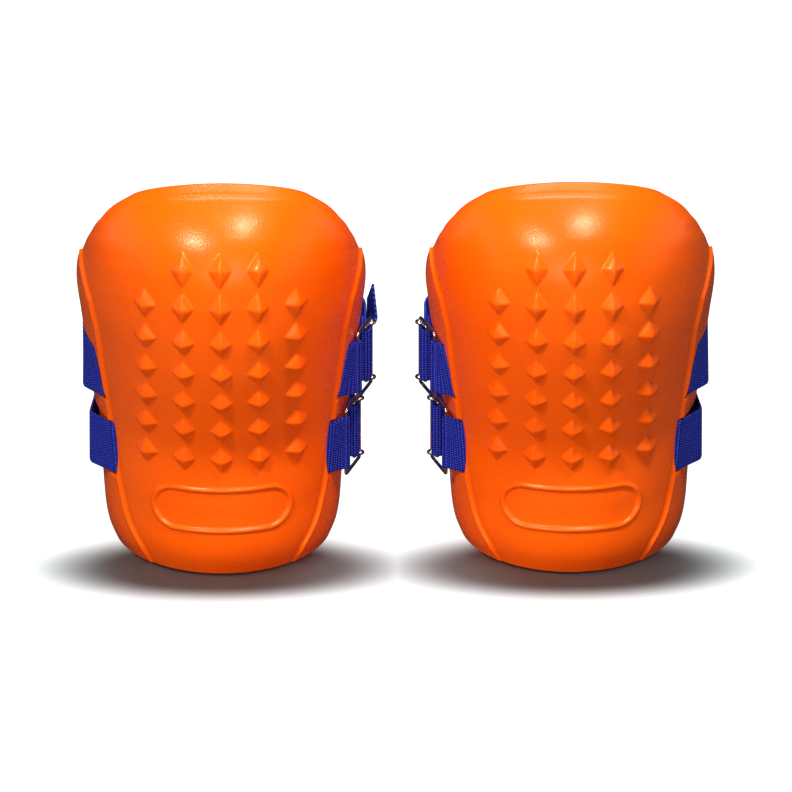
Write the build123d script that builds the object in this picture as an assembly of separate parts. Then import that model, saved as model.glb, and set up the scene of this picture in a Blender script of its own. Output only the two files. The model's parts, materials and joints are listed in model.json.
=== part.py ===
from build123d import *
import math
import os

# A pair of strap-on knee pads, standing side by side on their lower edges.
# Frame: +X across the pair, -Y towards the kneeling face, +Z up. The origin is on
# the floor, at the middle of the pair's box. Sizes are in millimetres and degrees.
# One pad is built about its own centre, with its buckles on the +X side, and
# the other pad is its mirror image.

# --- the pair -------------------------------------------------------------
PAD_SPACING = 214.0          # between the two pads' centre planes

# --- moulded shell --------------------------------------------------------
SHELL_HEIGHT = 263.0
FRONT_WALL = 9.0             # behind the studs
SIDE_WALL = 8.0              # in the two cheeks
ROUNDNESS = 2.0              # superellipse exponent of a cross section
OUTLINE_SPANS = 12           # spline spans across a cross section
# Cross sections from the floor up: share of the height, front y, backward tilt
# of the section's plane, half width, depth from the front to the rear edge.
STATIONS = [
    (0.000, 6.0, 0.0, 66.0, 72.0),
    (0.045, 1.0, 0.0, 69.5, 76.0),
    (0.170, 0.0, 0.0, 73.0, 80.0),
    (0.310, -1.0, 0.0, 77.0, 88.0),
    (0.400, -10.0, 0.0, 80.0, 98.0),
    (0.490, -20.0, 0.0, 83.0, 107.0),
    (0.580, -29.0, 1.0, 85.5, 113.0),
    (0.670, -35.5, 3.0, 87.5, 113.0),
    (0.760, -38.0, 7.0, 86.5, 107.0),
    (0.840, -35.0, 13.0, 83.5, 93.0),
    (0.910, -25.0, 21.0, 79.5, 75.0),
    (0.955, -13.0, 28.0, 73.5, 57.0),
    (0.985, -2.0, 34.0, 63.5, 40.0),
    (1.000, 5.0, 38.0, 52.5, 30.0),
]

# --- grip studs -----------------------------------------------------------
STUD_COLUMNS = 5
STUD_COLUMN_PITCH = 22.8
STUD_FULL_ROWS = 6           # rows that hold every column
STUD_TOP_COLUMNS = 3         # the row above them is shorter
STUD_FIRST_HEIGHT = 81.0     # lowest row above the floor
STUD_ROW_PITCH = 24.4        # along the surface
STUD_WIDTH = 15.0
STUD_LENGTH = 19.0
STUD_HEIGHT = 4.5
STUD_TIP = 1.0               # width of the blunt tip
STUD_ROOT = 3.0              # how far a stud is carried into the wall

# --- raised parts of the shell's face ---------------------------------------
RELIEF = 1.2                 # badge outline and cheeks above the face
RELIEF_ROOT = 4.0            # how far they are carried into the wall
BADGE_HEIGHT = 29.5
BADGE_WIDTH = 86.5
BADGE_Z = 46.0
BADGE_BEAD = 2.4
CHEEK_LOW_Z = 2.0
CHEEK_REAR_TURN = 0.97       # the raised cheek stops just short of the rear edge
# Front edge of a raised cheek: share of the height, turn across the section.
CHEEK_EDGE = [
    (0.00, 0.44), (0.05, 0.49), (0.09, 0.56), (0.12, 0.60), (0.16, 0.63), (0.20, 0.65),
    (0.32, 0.665), (0.43, 0.665), (0.60, 0.67), (0.68, 0.71), (0.74, 0.80), (0.79, 0.90),
]

# --- knee cushion ---------------------------------------------------------
CUSHION_THICKNESS = 10.0
CUSHION_GAP = 0.9            # glue line against the shell
CUSHION_REACH = 0.55         # share of the section that it lines
CUSHION_LOW_Z = 14.0
CUSHION_HIGH_Z = 248.0

# --- webbing --------------------------------------------------------------
WEBBING_WIDTH = 34.0
WEBBING_THICKNESS = 1.6
STRAP_HEIGHTS = {"lower": 69.5, "upper": 120.5}
STRAP_REAR_Y = 146.0         # middle of the band behind the leg
STRAP_CORNER = 26.0          # the band's rear corners are cut by this much
STRAP_CORNER_RADIUS = 28.0
PLY_GAP = 0.1                # between two plies sewn together
SEWN_LENGTH = 10.0           # where two plies are sewn together
FOLD_RADIUS = 5.0            # gentle bends where a sewn end leaves its run
CROSSING_RADIUS = 3.0
CHEEK_RADIUS = 20.0          # bends of the strap along the cheek
JOIN_RADIUS = 1.0            # where the loop's two plies meet
LOOP_CLOSE = 9.6             # bar to where the loop's two plies meet
PLY_CROSSING = 8.0           # run in which the inner ply comes out to the outer one
LOOP_RADIUS = 3.2            # middle of the webbing's turn round the hook's bar

# --- slots and strap channels in the cheeks --------------------------------
SLOT_Y = 43.5
SLOT_OPENING = 4.6
SLOT_HEIGHT_GAP = 1.5        # slot and channel are this much taller than the webbing
WALL_GAP = 0.5               # webbing to shell
CHANNEL_BITE = 0.5           # channel floor below the wall at its lower edge

# --- wire rings and hooks --------------------------------------------------
WIRE_RADIUS = 1.1
RING_LENGTH = 27.2           # inner bar to outer bar
RING_CORNER = 2.0
RING_TURN = 18.0             # degrees that the ring points outwards from +Y
RUNNING_GAP = 0.05
RING_OFFSET = 7.0            # inner bar beyond the cheek
RING_AHEAD = 6.5             # inner bar behind the slot
HOOK_REACH = 7.6             # hook's bar to the ring's outer bar
HOOK_TURN = 27.0             # degrees that the hook points outwards from +Y
HOOK_SIDE_GAP = 0.3          # webbing edge to the hook's arm
HOOK_CORNER = 1.6
CURL_ANGLE = 250.0           # wrap of the hook's curl round the ring
CURL_START = 180.0


# --- shell surface --------------------------------------------------------
def station_at(share):
    """Cross section at any share of the height, between the listed ones."""
    for low, high in zip(STATIONS, STATIONS[1:]):
        if share <= high[0]:
            mix = (share - low[0]) / (high[0] - low[0])
            return [a + (b - a) * mix for a, b in zip(low, high)]
    return STATIONS[-1]


def station_plane(station):
    share, front_y, tilt = station[:3]
    lean = math.radians(tilt)
    return Plane(
        origin=(0, front_y, share * SHELL_HEIGHT),
        x_dir=(1, 0, 0),
        z_dir=(0, math.sin(lean), math.cos(lean)),
    )


def section_point(turn, half_width, depth, front):
    """Point of a half superellipse; turn runs from -1 to 1 across the pad."""
    angle = turn * math.pi / 2
    power = 2 / ROUNDNESS
    across = math.copysign(half_width * abs(math.sin(angle)) ** power, turn)
    back = front + (depth - front) * (1 - math.cos(angle) ** power)
    return across, back


def section_curve(station, inset, front, reach=1.0):
    half_width, depth = station[3:]
    plane = station_plane(station)
    turns = [reach * (2 * i / OUTLINE_SPANS - 1) for i in range(OUTLINE_SPANS + 1)]
    flat = [section_point(t, half_width - inset, depth, front) for t in turns]
    return Spline(*[plane.from_local_coords((x, y, 0)) for x, y in flat])


def closed_band(outer, inner):
    """Closed wire of two curves that run the same way."""
    return Wire([outer, Line(outer @ 1, inner @ 1), inner, Line(inner @ 0, outer @ 0)])


def surface_point(across, share):
    """Point of the shell's outer face."""
    station = station_at(share)
    half_width, depth = station[3:]
    turn = math.asin(abs(across / half_width) ** (ROUNDNESS / 2)) * 2 / math.pi
    back = section_point(turn, half_width, depth, 0)[1]
    return station_plane(station).from_local_coords((across, back, 0))


def cheek_x(y, z):
    """How far out the shell's outer face is at one depth and height."""
    _, front_y, _, half_width, depth = station_at(z / SHELL_HEIGHT)
    left = max(0.0, 1 - (y - front_y) / depth)
    return half_width * (1 - left ** ROUNDNESS) ** (1 / ROUNDNESS)


def rear_y(z):
    """Where the cheek ends, at one height."""
    _, front_y, _, _, depth = station_at(z / SHELL_HEIGHT)
    return front_y + depth


# --- shell ----------------------------------------------------------------
def shell_blank():
    bands = [
        closed_band(section_curve(s, 0, 0), section_curve(s, SIDE_WALL, FRONT_WALL))
        for s in STATIONS
    ]
    return Solid.make_loft(bands)


def relief_blank():
    """Thin layer that stands out of the face; the raised parts are cut from it."""
    bands = [
        closed_band(section_curve(s, -RELIEF, -RELIEF), section_curve(s, RELIEF_ROOT, RELIEF_ROOT))
        for s in STATIONS
    ]
    return Solid.make_loft(bands)


def badge_outline():
    """Prism of the bead that frames the bare badge on the front."""
    rim = SlotOverall(BADGE_WIDTH, BADGE_HEIGHT) - SlotOverall(
        BADGE_WIDTH - 2 * BADGE_BEAD, BADGE_HEIGHT - 2 * BADGE_BEAD
    )
    return extrude(Plane.XZ * Pos(0, BADGE_Z) * rim, BADGE_WIDTH / 2, both=True)


def side_point(share, turn):
    """Point of the face in side view."""
    front_y, tilt, half_width, depth = station_at(share)[1:]
    back = section_point(turn, half_width, depth, 0)[1]
    lean = math.radians(tilt)
    return front_y + back * math.cos(lean), share * SHELL_HEIGHT - back * math.sin(lean)


def cheek_outline():
    """Prism of the raised cheeks, seen from the side."""
    front = Spline(*[side_point(share, turn) for share, turn in CHEEK_EDGE])
    rear = Spline(*[side_point(share, CHEEK_REAR_TURN) for share, _ in reversed(CHEEK_EDGE)])
    outline = Wire([front, Line(front @ 1, rear @ 0), rear, Line(rear @ 1, front @ 0)])
    width = 4 * max(s[3] for s in STATIONS)
    prism = extrude(Plane.YZ * make_face(outline), width / 2, both=True)
    return prism & Pos(0, 0, CHEEK_LOW_Z + SHELL_HEIGHT / 2) * Box(width, width, SHELL_HEIGHT)


def raised_parts():
    layer = relief_blank()
    raised = []
    for outline in (badge_outline(), cheek_outline()):
        raised.extend((layer & outline).solids())
    return raised


def stud(across, share):
    """A blunt four-sided pyramid standing on the shell's face."""
    step = 0.01
    base = surface_point(across, share)
    up = (surface_point(across, share + step) - surface_point(across, share - step)).normalized()
    side = (surface_point(across + 1, share) - surface_point(across - 1, share)).normalized()
    plane = Plane(origin=base, x_dir=side, z_dir=side.cross(up))
    grow = (STUD_HEIGHT + STUD_ROOT) / STUD_HEIGHT
    root = diamond(STUD_WIDTH * grow, STUD_LENGTH * grow)
    tip = diamond(STUD_TIP, STUD_TIP)
    sections = [plane.offset(-STUD_ROOT) * root, plane.offset(STUD_HEIGHT) * tip]
    return loft(sections, ruled=True)


def diamond(width, length):
    corners = [(width / 2, 0), (0, length / 2), (-width / 2, 0), (0, -length / 2)]
    return make_face(Polyline(*corners, close=True))


def stud_shares():
    """Heights of the stud rows as shares, one pitch apart along the surface."""
    shares = [STUD_FIRST_HEIGHT / SHELL_HEIGHT]
    step = 0.002
    while len(shares) <= STUD_FULL_ROWS:
        share = shares[-1]
        start = surface_point(0, share)
        while (surface_point(0, share) - start).length < STUD_ROW_PITCH:
            share += step
        shares.append(share)
    return shares


def studs():
    made = []
    for row, share in enumerate(stud_shares()):
        columns = STUD_COLUMNS if row < STUD_FULL_ROWS else STUD_TOP_COLUMNS
        for column in range(columns):
            across = (column - (columns - 1) / 2) * STUD_COLUMN_PITCH
            made.append(stud(across, share))
    return made


def slot_and_channel(middle_z, side):
    """Cutter for one strap slot and the channel behind it, on one cheek."""
    height = WEBBING_WIDTH + SLOT_HEIGHT_GAP
    low = middle_z - WEBBING_WIDTH / 2
    rear = rear_y(middle_z) + SIDE_WALL
    floor = [(floor_x(y, low), y) for y in channel_depths(middle_z)]
    outside = cheek_x(rear, middle_z) + SIDE_WALL
    channel = make_face(Polyline(*floor, (outside, rear), (outside, SLOT_Y), close=True))
    inside = cheek_x(SLOT_Y, low) - 3 * SIDE_WALL
    slot = Pos((inside + outside) / 2, SLOT_Y) * Rectangle(outside - inside, SLOT_OPENING)
    flat = (channel + slot) if side > 0 else mirror(channel + slot, about=Plane.YZ)
    return extrude(Pos(0, 0, middle_z - height / 2) * flat, height, dir=(0, 0, 1))


def channel_depths(middle_z):
    """Depths at which the channel's floor follows the cheek."""
    rear = rear_y(middle_z)
    return [SLOT_Y, (SLOT_Y + rear) / 2, rear, rear + SIDE_WALL]


def floor_x(y, low_z):
    return cheek_x(y, low_z) - CHANNEL_BITE


def shell():
    body = shell_blank()
    body = body.fuse(*studs(), *raised_parts())
    cutters = [
        slot_and_channel(z, side) for z in STRAP_HEIGHTS.values() for side in (-1, 1)
    ]
    for cutter in cutters:
        body = body.cut(*cutter.solids())
    return body


# --- knee cushion ---------------------------------------------------------
def cushion():
    bands = []
    for s in STATIONS:
        near = FRONT_WALL + CUSHION_GAP
        inset = SIDE_WALL + CUSHION_GAP
        outer = section_curve(s, inset, near, CUSHION_REACH)
        inner = section_curve(
            s, inset + CUSHION_THICKNESS, near + CUSHION_THICKNESS, CUSHION_REACH
        )
        bands.append(closed_band(outer, inner))
    height = CUSHION_HIGH_Z - CUSHION_LOW_Z
    span = Pos(0, 0, CUSHION_LOW_Z + height / 2) * Box(4 * SHELL_HEIGHT, 4 * SHELL_HEIGHT, height)
    return Solid.make_loft(bands) & span


# --- places of the buckle's bars, in plan ------------------------------------
def heading(length, turn):
    angle = math.radians(turn)
    return Vector(length * math.sin(angle), length * math.cos(angle))


def ring_inner_bar(middle_z):
    y = SLOT_Y + RING_AHEAD
    return Vector(cheek_x(y, middle_z) + RING_OFFSET, y)


def ring_outer_bar(middle_z):
    return ring_inner_bar(middle_z) + heading(RING_LENGTH, RING_TURN)


def hook_bar(middle_z):
    return ring_outer_bar(middle_z) - heading(HOOK_REACH, HOOK_TURN)


# --- webbing --------------------------------------------------------------
def webbing(points, radii, thickness, middle_z):
    """Webbing on edge, laid along a path of rounded corners in plan."""
    path = FilletPolyline(*[(x, y, middle_z) for x, y in points], radius=radii)
    start = Plane(origin=path @ 0, x_dir=(0, 0, 1), z_dir=path % 0)
    return sweep(start * Rectangle(WEBBING_WIDTH, thickness), path=path)


def inner_ply_x(y, middle_z):
    low = middle_z - WEBBING_WIDTH / 2
    return cheek_x(y, low) - SIDE_WALL - WALL_GAP - WEBBING_THICKNESS / 2


def outer_ply_x(y, middle_z):
    low = middle_z - WEBBING_WIDTH / 2
    return floor_x(y, low) + WALL_GAP + WEBBING_THICKNESS / 2


def strap(middle_z):
    """Long elastic: sewn round the cheek, round the leg and round the hook."""
    ply = WEBBING_THICKNESS + PLY_GAP
    rear = max(rear_y(middle_z + half) for half in (-WEBBING_WIDTH / 2, 0, WEBBING_WIDTH / 2))
    turn_y = SLOT_Y
    behind = rear + WALL_GAP + WEBBING_THICKNESS
    sewn = behind + PLY_CROSSING
    out_x = outer_ply_x(rear, middle_z)
    bar = hook_bar(middle_z)
    loop = bar + heading(LOOP_RADIUS - WEBBING_THICKNESS / 2 - WIRE_RADIUS - PLY_GAP, 0)
    near_x = bar.X - LOOP_RADIUS
    far_x = bar.X + LOOP_RADIUS
    front = loop.Y - LOOP_RADIUS
    meet = loop.Y + LOOP_CLOSE
    strap_x = min(ring_outer_bar(middle_z).X - WIRE_RADIUS - WEBBING_THICKNESS, bar.X)
    points = [
        (-(out_x - ply), sewn + SEWN_LENGTH),
        (-(out_x - ply), sewn),
        (-inner_ply_x(rear, middle_z), behind),
        (-inner_ply_x(turn_y, middle_z), turn_y),
        (-outer_ply_x(turn_y, middle_z), turn_y),
        (-outer_ply_x((turn_y + rear) / 2, middle_z), (turn_y + rear) / 2),
        (-out_x, rear),
        (-out_x, STRAP_REAR_Y - STRAP_CORNER),
        (-out_x + STRAP_CORNER, STRAP_REAR_Y),
        (strap_x - STRAP_CORNER, STRAP_REAR_Y),
        (strap_x, STRAP_REAR_Y - STRAP_CORNER),
        (strap_x, meet),
        (far_x, loop.Y),
        (far_x, front),
        (near_x, front),
        (near_x, loop.Y),
        (strap_x - ply, meet),
        (strap_x - ply, meet + SEWN_LENGTH),
    ]
    fold = WEBBING_THICKNESS
    turn = 0.9 * LOOP_RADIUS
    radii = [FOLD_RADIUS, CROSSING_RADIUS, fold, fold, CHEEK_RADIUS, CHEEK_RADIUS]
    radii += [STRAP_CORNER_RADIUS] * 4
    radii += [FOLD_RADIUS, JOIN_RADIUS, turn, turn, JOIN_RADIUS, FOLD_RADIUS]
    return webbing(points, radii, WEBBING_THICKNESS, middle_z)


def tab(middle_z):
    """Short loop of doubled webbing that carries the ring's inner bar."""
    bar = ring_inner_bar(middle_z)
    doubled = 2 * WEBBING_THICKNESS + PLY_GAP
    inside_x = inner_ply_x(SLOT_Y, middle_z) - WEBBING_THICKNESS / 2
    outside_x = outer_ply_x(SLOT_Y, middle_z) + WALL_GAP
    points = [
        (inside_x, SLOT_Y + SEWN_LENGTH),
        (inside_x, SLOT_Y),
        (outside_x, SLOT_Y),
        (bar.X, bar.Y),
    ]
    stem = webbing(points, [WEBBING_THICKNESS + 0.5, 4], doubled, middle_z)
    bore = WIRE_RADIUS + RUNNING_GAP
    place = Pos(bar.X, bar.Y, middle_z)
    eye = place * Cylinder(bore + WEBBING_THICKNESS, WEBBING_WIDTH)
    return stem + eye - place * Cylinder(bore, WEBBING_WIDTH)


# --- wire -----------------------------------------------------------------
def arm_height():
    return WEBBING_WIDTH / 2 + HOOK_SIDE_GAP + WIRE_RADIUS


def ring_half_height():
    """Middle of the ring's short sides, clear of the hook's curls."""
    return arm_height() + WIRE_RADIUS + RING_CORNER


def wire_along(path):
    start = Plane(origin=path @ 0, z_dir=path % 0)
    return sweep(start * Circle(WIRE_RADIUS), path=path)


def ring(middle_z):
    inner = ring_inner_bar(middle_z)
    plane = Plane(
        origin=(inner.X, inner.Y, middle_z),
        x_dir=heading(1, RING_TURN),
        z_dir=heading(1, RING_TURN + 90),
    )
    height = 2 * ring_half_height()
    outline = Pos(RING_LENGTH / 2, 0) * RectangleRounded(RING_LENGTH, height, RING_CORNER)
    return wire_along(plane * outline.wire())


def hook(middle_z):
    """Bar through the strap's loop, with an arm and a curl at each end."""
    bar = hook_bar(middle_z)
    curl = 2 * WIRE_RADIUS + RUNNING_GAP
    plane = Plane(
        origin=(bar.X, bar.Y, middle_z),
        x_dir=heading(1, HOOK_TURN),
        z_dir=(0, 0, 1),
    )
    made = []
    for level in (-arm_height(), arm_height()):
        corners = [(0, 0, 0), (0, 0, level), (HOOK_REACH - curl, 0, level)]
        points = [plane.from_local_coords(corner) for corner in corners]
        made.append(wire_along(FilletPolyline(*points, radius=HOOK_CORNER)))
        centre = Plane(
            origin=plane.from_local_coords((HOOK_REACH, 0, level)),
            x_dir=plane.x_dir,
            z_dir=(0, 0, 1),
        )
        made.append(wire_along(centre * CenterArc((0, 0), curl, CURL_START, CURL_ANGLE)))
    return made[0].fuse(*made[1:])


# --- one pad, then the pair -------------------------------------------------
def pad():
    pieces = {"shell": shell(), "knee_cushion": cushion()}
    for level, middle_z in STRAP_HEIGHTS.items():
        pieces[f"{level}_strap"] = strap(middle_z)
        pieces[f"{level}_ring_tab"] = tab(middle_z)
        pieces[f"{level}_ring"] = ring(middle_z)
        pieces[f"{level}_hook"] = hook(middle_z)
    return pieces


def pair():
    nodes = {}
    for name, piece in pad().items():
        left = Pos(-PAD_SPACING / 2, 0, 0) * piece
        nodes[f"left_{name}"] = left
        nodes[f"right_{name}"] = mirror(left, about=Plane.YZ)
    return nodes


nodes = pair()
boxes = [shape.bounding_box() for shape in nodes.values()]
middle_y = (min(b.min.Y for b in boxes) + max(b.max.Y for b in boxes)) / 2
os.makedirs("parts", exist_ok=True)
for name, shape in nodes.items():
    export_step(Pos(0, -middle_y, 0) * shape, f"parts/{name}.step")

print("middle_y", middle_y)
for level, middle_z in STRAP_HEIGHTS.items():
    inner, outer = ring_inner_bar(middle_z), ring_outer_bar(middle_z)
    print(level, "ring pivot", inner.X, inner.Y - middle_y, "hook pivot", outer.X, outer.Y - middle_y)
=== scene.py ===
import json
import math

import bmesh
import bpy
import numpy as np
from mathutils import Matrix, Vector


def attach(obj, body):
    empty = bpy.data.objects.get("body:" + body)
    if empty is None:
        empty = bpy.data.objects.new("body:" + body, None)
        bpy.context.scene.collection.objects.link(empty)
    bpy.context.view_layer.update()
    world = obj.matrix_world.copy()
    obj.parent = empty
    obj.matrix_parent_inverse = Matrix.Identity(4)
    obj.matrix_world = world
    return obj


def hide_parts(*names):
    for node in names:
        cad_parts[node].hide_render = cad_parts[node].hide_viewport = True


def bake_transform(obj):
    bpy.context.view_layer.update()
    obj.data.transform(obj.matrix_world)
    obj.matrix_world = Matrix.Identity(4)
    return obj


# A pair of moulded knee pads with elastic straps and wire buckles.
# The pieces are worked out in millimetres about one pad's own centre, with its
# buckles on the +X side. place() brings them into the frame, in metres. Sizes of
# materials, lamps and the camera are in metres.

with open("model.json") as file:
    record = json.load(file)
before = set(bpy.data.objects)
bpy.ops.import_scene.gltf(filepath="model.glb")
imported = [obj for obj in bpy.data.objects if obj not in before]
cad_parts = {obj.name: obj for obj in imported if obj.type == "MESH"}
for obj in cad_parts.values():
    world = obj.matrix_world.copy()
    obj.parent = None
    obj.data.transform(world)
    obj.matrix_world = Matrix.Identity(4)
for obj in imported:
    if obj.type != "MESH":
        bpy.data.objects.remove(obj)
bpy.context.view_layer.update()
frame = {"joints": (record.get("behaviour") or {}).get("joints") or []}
JOINTS = {j["name"]: Vector(j["pos_m"]) * 1000 for j in frame["joints"]}
LEVELS = ("lower", "upper")
SIDES = {"left": -1, "right": 1}

# --- places in the frame, in millimetres --------------------------------------
RING_BAR_Y = 50.0                 # a ring's inner bar, from its own pad's centre
PAD_Y = JOINTS["left_upper_ring_swing"].y - RING_BAR_Y
PAD_X = 107.0                     # half the distance between the pads
STRAP_Z = {level: JOINTS[f"left_{level}_ring_swing"].z for level in LEVELS}

# --- the moulded shell --------------------------------------------------------
SHELL_HEIGHT = 263.0
FRONT_WALL = 9.0
SIDE_WALL = 8.0
# Share of the height, front y, tilt in degrees, half width and depth.
STATIONS = np.array([
    (0.000, 6.0, 0.0, 66.0, 72.0),
    (0.045, 1.0, 0.0, 69.5, 76.0),
    (0.170, 0.0, 0.0, 73.0, 80.0),
    (0.310, -1.0, 0.0, 77.0, 88.0),
    (0.400, -10.0, 0.0, 80.0, 98.0),
    (0.490, -20.0, 0.0, 83.0, 107.0),
    (0.580, -29.0, 1.0, 85.5, 113.0),
    (0.670, -35.5, 3.0, 87.5, 113.0),
    (0.760, -38.0, 7.0, 86.5, 107.0),
    (0.840, -35.0, 13.0, 83.5, 93.0),
    (0.910, -25.0, 21.0, 79.5, 75.0),
    (0.955, -13.0, 28.0, 73.5, 57.0),
    (0.985, -2.0, 34.0, 63.5, 40.0),
    (1.000, 5.0, 38.0, 52.5, 30.0),
])

STUDS_IN_ROW = (5, 5, 5, 5, 5, 5, 3)
STUD_COLUMN_PITCH = 22.8
STUD_ROW_PITCH = 24.4
STUD_FIRST_HEIGHT = 81.0
STUD_WIDTH = 13.8
STUD_LENGTH = 18.4
STUD_HEIGHT = 5.0
PLAIN_ROWS = 3                    # above these rows the studs grow longer
STRETCH, STRETCH_POWER = 0.05, 1.3
STUD_PEAK = 1.05                  # share of its height that a sharp stud would reach
RIDGE_SOFTNESS, FOOT_SOFTNESS = 0.004, 0.0012
STUD_SWELL = (1.45, 0.5)          # rise of the flanks at the foot, and how it slackens
BLUNT_FROM, BLUNT_SLOPE = 0.9, 0.25

BADGE_Z = 46.0
BADGE_WIDTH = 86.5
BADGE_HEIGHT = 29.5
BADGE_BEAD = 2.6
BADGE_BEAD_HEIGHT, BADGE_BEAD_SHARE = 1.32, 0.52
BADGE_SINK, BADGE_SINK_RUN = 0.5, 2.5
RELIEF = 1.2
CHEEK_STEP = 2.2
CHEEK_BEAD, CHEEK_BEAD_PLACE, CHEEK_BEAD_WIDTH = 0.55, 2.0, 1.7
CHEEK_GROOVE, CHEEK_GROOVE_WIDTH = 0.45, 1.6
FOOT_SHARE, FOOT_FADE = 0.35, 0.045             # the cheek's relief is lower at the foot
TURN_RUN = 125.0                  # run across the face for a turn of one
CREASE_BELOW, CREASE_DEPTH, CREASE_WIDTH = 11.0, 0.5, 1.8
LIP_DEPTH, LIP_STEP, LIP_HALF_WIDTH, LIP_FADE = 0.9, 2.5, 58.0, 1.15
# Front edge of a raised cheek: share of the height, turn across the section.
CHEEK_EDGE = np.array([
    (0.00, 0.44), (0.05, 0.49), (0.09, 0.56), (0.12, 0.60), (0.16, 0.63), (0.20, 0.65),
    (0.32, 0.665), (0.43, 0.665), (0.60, 0.67), (0.68, 0.71), (0.74, 0.80), (0.79, 0.90),
    (0.84, 1.08), (1.00, 1.80),
])

# --- the rows and columns of the shell's mesh ---------------------------------
ROWS = 440
INNER_STEP = 4                    # outer columns to each inner one
SLOT_COLUMNS = (208, 216)         # outer columns at the slot's front and rear edge
HALF_COLUMNS = 276                # outer columns from the centre to one edge
EDGE_TURN = 0.985
SLOT_DEPTHS = (0.25, 0.86)        # limits of the slot columns' place on other rows
SLOT_TURN = 0.015                 # least turn between the slot columns
FINE_STEPS = 3000
END_POINTS, END_BULGE = 5, 0.6    # points round each free edge, and how round it is
CAP_ROWS, CAP_HEIGHT = 5, 1.6
FOOT_MARGIN = 2.0

# --- the foam lining ----------------------------------------------------------
CUSHION_THICKNESS = 10.0
CUSHION_GAP = 0.9
CUSHION_REACH = 0.55
CUSHION_FOOT, CUSHION_TOP_SHARE = 14.0, 0.972
CUSHION_ROWS, CUSHION_COLUMNS = 150, 71
CUSHION_EDGE = 7.0                # over which its thickness fades to the edges
LEAST_SWELL = 0.02
CUSHION_HALF_RUN = 75.0
FLUTE_PITCH, FLUTE_WIDTH, FLUTE_DEPTH = 27.0, 2.4, 0.28
FLUTE_REACH = 0.9                 # share of the lining's width

# --- the webbing --------------------------------------------------------------
WEBBING_WIDTH = 34.0
WEBBING_THICKNESS = 1.6
RIB_PITCH, RIB_DEPTH = 1.7, 0.34
TICK_PITCH = 1.6
STRAP_STEP = RIB_PITCH / 4
BAND_SHARES = (-1, -0.955, -0.91, -0.6, -0.3, 0, 0.3, 0.6, 0.91, 0.955, 1)
SELVEDGE_FROM, SELVEDGE_SINK = 0.93, 0.12       # share of the half width, millimetres
EDGE_THINNING = 0.62
STRAP_REAR_Y = 146.0
STRAP_CORNER = 26.0
STRAP_CORNER_RADIUS = 28.0
PLY_GAP = 0.1
PLY = WEBBING_THICKNESS + PLY_GAP
SEWN_LENGTH = 10.0
PLY_CROSSING = 8.0
LOOP_RADIUS = 3.2
LOOP_CLOSE = 9.6
SEAM_RADIUS = 5.0
LOOP_SLACK = 0.8                  # room for the hook's bar to turn in its loop
STRAP_BULGE = {"lower": 81.4, "upper": 84.3}    # how far out it swings behind its slot
BULGE_Y = 61.0
STRAIGHTENING = 30.0              # behind the bulge the strap comes upright over this
OUT_TURN = 0.12                   # share of the cheek's lean that it turns the other way
TURNED_UP_TAIL = ("left", "upper")
TAIL_TIP_Y, TAIL_TIP_RISE = 100.0, 16.5
TAIL_LENGTH, TAIL_WIDTH, TAIL_TURN = 26.0, 28.0, 42.0
TAIL_ROWS, TAIL_COLUMNS = 64, 34
TAIL_LIFT, TAIL_TWIST = 3.2, 0.146
TAIL_FREE_BELOW, TAIL_FREE_RUN = 9.0, 10.0      # it leaves the band near its top edge

STITCH_LENGTH = 2.3
STITCH_PITCH = 3.0
STITCH_MARGIN_Y, STITCH_MARGIN_Z = 1.4, 3.0
THREAD_RADIUS = 0.32
THREAD_SIDES = 8
# Share of the stitch's length from its middle, share of the thread's radius.
THREAD_ROWS = ((-0.5, 0.3), (-0.42, 0.8), (-0.2, 1.0), (0.2, 1.0), (0.42, 0.8), (0.5, 0.3))

TAB_UPRIGHT, TAB_LEAN_RUN = 2.5, 6.0            # a tab starts to lean this far from its bar
TAB_RADIUS = 4.0
EYE_POINTS = 24

SLOT_Y = 43.5
SLOT_OPENING = 4.6
SLOT_HEIGHT = WEBBING_WIDTH + 1.5
WALL_GAP = 0.5
CHANNEL_BITE = 0.5
CHANNEL_STEP = 1.6
CHANNEL_MARGIN_Y, CHANNEL_MARGIN_Z = 1.2, 1.38  # beyond the slot's edges

# --- the wire -----------------------------------------------------------------
WIRE_RADIUS = 1.1
WIRE_SIDES = 14
RING_LENGTH = 27.2
RING_CORNER = 2.0
RING_TURN = 18.0
RUNNING_GAP = 0.05
HOOK_REACH = 7.6
HOOK_TURN = 27.0
HOOK_SIDE_GAP = 0.3
CURL_ANGLE, CURL_POINTS = 250.0, 40
RING_STEP, RING_SOFTENING = 0.4, 14
HOOK_STEP, HOOK_SOFTENING = 0.3, 8

# --- the stage, in metres and degrees -----------------------------------------
SHADOW_Y = -0.035
SHADOW_REACH = (0.105, 0.044)     # half axes of the shadow's ellipse at each pad
CAMERA_AZIMUTH = -0.6
CAMERA_ELEVATION = 24.0
CAMERA_LENS = 500.0
CAMERA_CLIP_END = 50.0
VIEW_WIDTH = 0.4865
VIEW_CENTRE = (0.0, 0.0, 0.0995)


# --- small tools --------------------------------------------------------------
def place(points, side):
    """Pad millimetres to frame metres; the right pad is the left one mirrored."""
    p = np.array(points, float).reshape(-1, 3)
    x = -PAD_X + p[:, 0]
    if side > 0:
        x = -x
    return np.stack([x, p[:, 1] + PAD_Y, p[:, 2]], axis=1) / 1000


def new_object(name, data):
    obj = bpy.data.objects.new(name, data)
    bpy.context.scene.collection.objects.link(obj)
    return obj


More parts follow.
